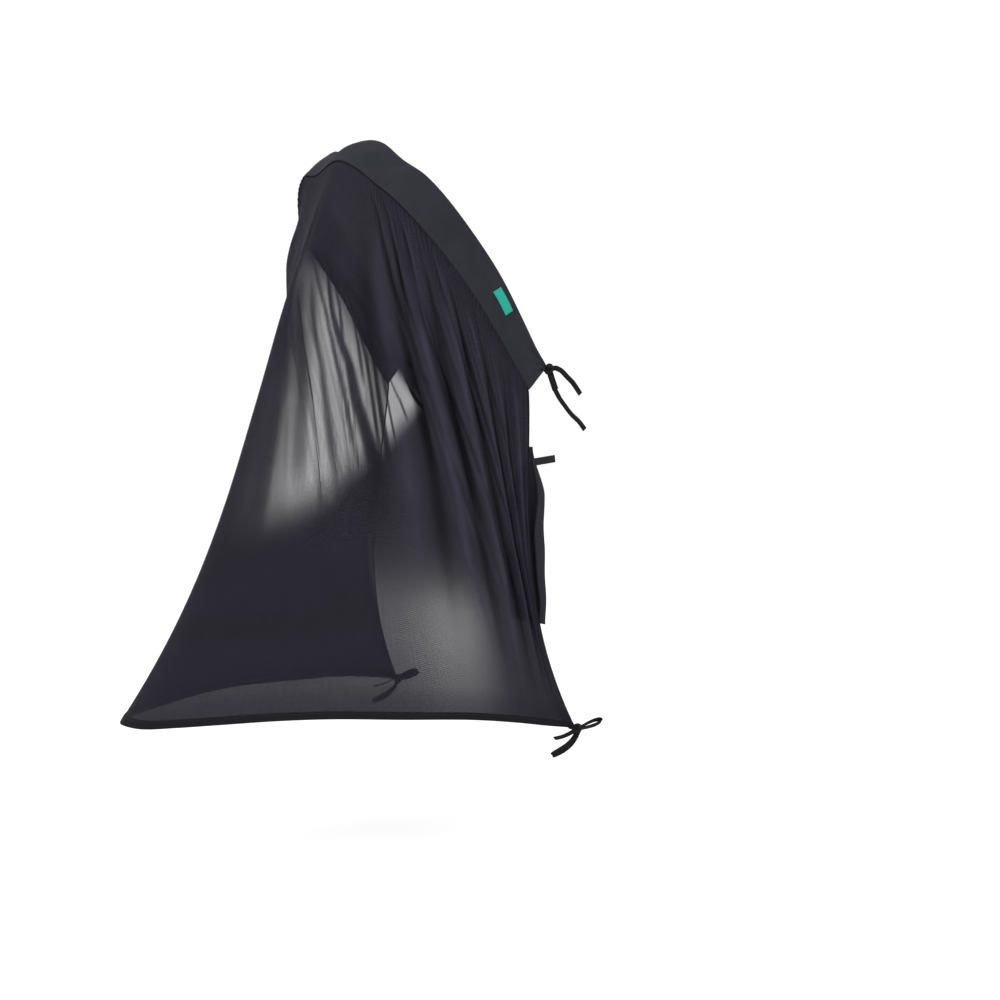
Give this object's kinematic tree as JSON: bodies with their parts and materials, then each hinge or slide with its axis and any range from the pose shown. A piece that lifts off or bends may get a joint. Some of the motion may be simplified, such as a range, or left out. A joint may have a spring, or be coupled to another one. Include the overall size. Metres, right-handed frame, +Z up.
{
  "type": "stroller sunshade net",
  "caption": "Draped black mesh sunshade for a stroller canopy, with an opaque rim band, tape ties, a bound hem and a limp storage pouch.",
  "frame": {"origin": "under the band at its crown, where the canopy's front rim carries it", "axes": "+Z up, -Y towards the stroller's front, +X towards the side with the label and the pouch"},
  "size_m": [0.533, 0.6062, 0.8446],
  "materials": {
    "band_fabric": "matt woven polyester",
    "net_mesh": "sheer warp-knitted mesh",
    "tie_tape": "matt woven tape",
    "pouch_fabric": "matt woven polyester",
    "label_fabric": "satin woven label"
  },
  "bodies": {
    "root": {"canopy_band": "band_fabric", "side_label": "label_fabric", "sun_net": "net_mesh", "storage_pouch": "pouch_fabric", "pouch_loop": "pouch_fabric", "upper_knot_near": "tie_tape", "upper_long_end_near": "tie_tape", "upper_short_end_near": "tie_tape", "lower_bow_near": "tie_tape", "upper_knot_far": "tie_tape", "upper_long_end_far": "tie_tape", "upper_short_end_far": "tie_tape", "lower_bow_far": "tie_tape"}
  },
  "joints": []
}
